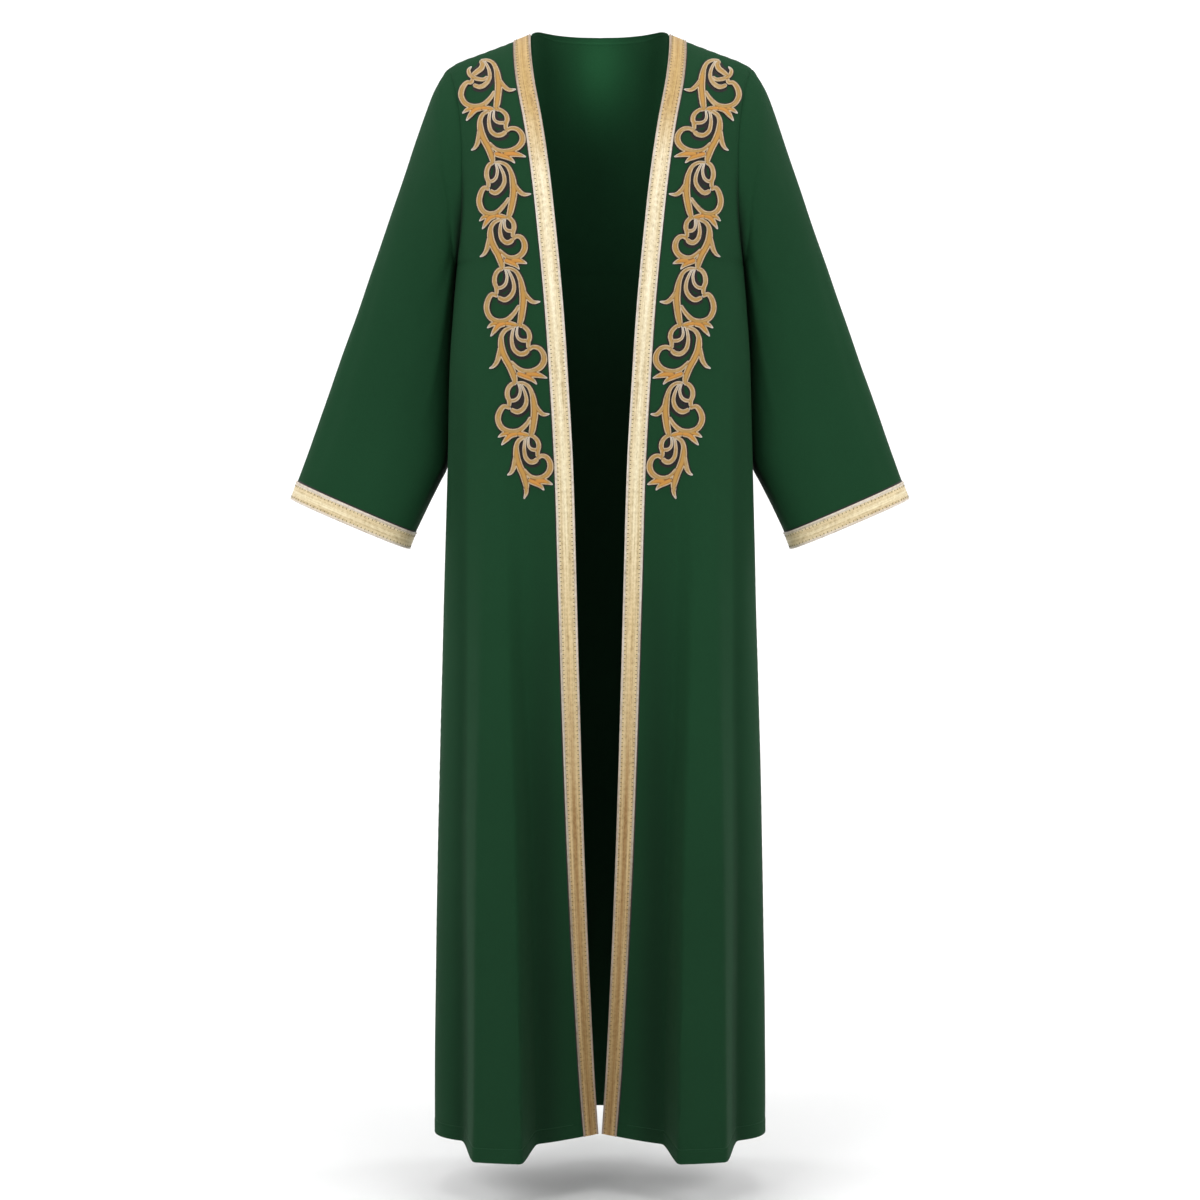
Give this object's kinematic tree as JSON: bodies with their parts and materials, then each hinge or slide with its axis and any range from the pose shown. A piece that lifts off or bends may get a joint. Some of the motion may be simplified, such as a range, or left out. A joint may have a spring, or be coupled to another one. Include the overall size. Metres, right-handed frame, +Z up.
{
  "type": "abaya",
  "caption": "Long open-front abaya worn as a hollow form, with wide set-in sleeves, gold braid edges and raised gold scroll embroidery.",
  "frame": {"origin": "midway between the neck ends of the shoulder seams and 0.5 mm below them, where the wearer's shoulders hold it", "axes": "+Z up; the fronts face -Y; +X is the wearer's left"},
  "size_m": [0.7856, 0.2886, 1.4041],
  "materials": {
    "cloth": "matte",
    "braid": "satin",
    "thread": "satin"
  },
  "bodies": {
    "root": {"back": "cloth", "front_right": "cloth", "front_left": "cloth", "sleeve_right": "cloth", "sleeve_left": "cloth", "front_braid_right": "braid", "front_braid_left": "braid", "cuff_braid_right": "braid", "cuff_braid_left": "braid", "embroidery_right": "thread", "embroidery_left": "thread"}
  },
  "joints": []
}
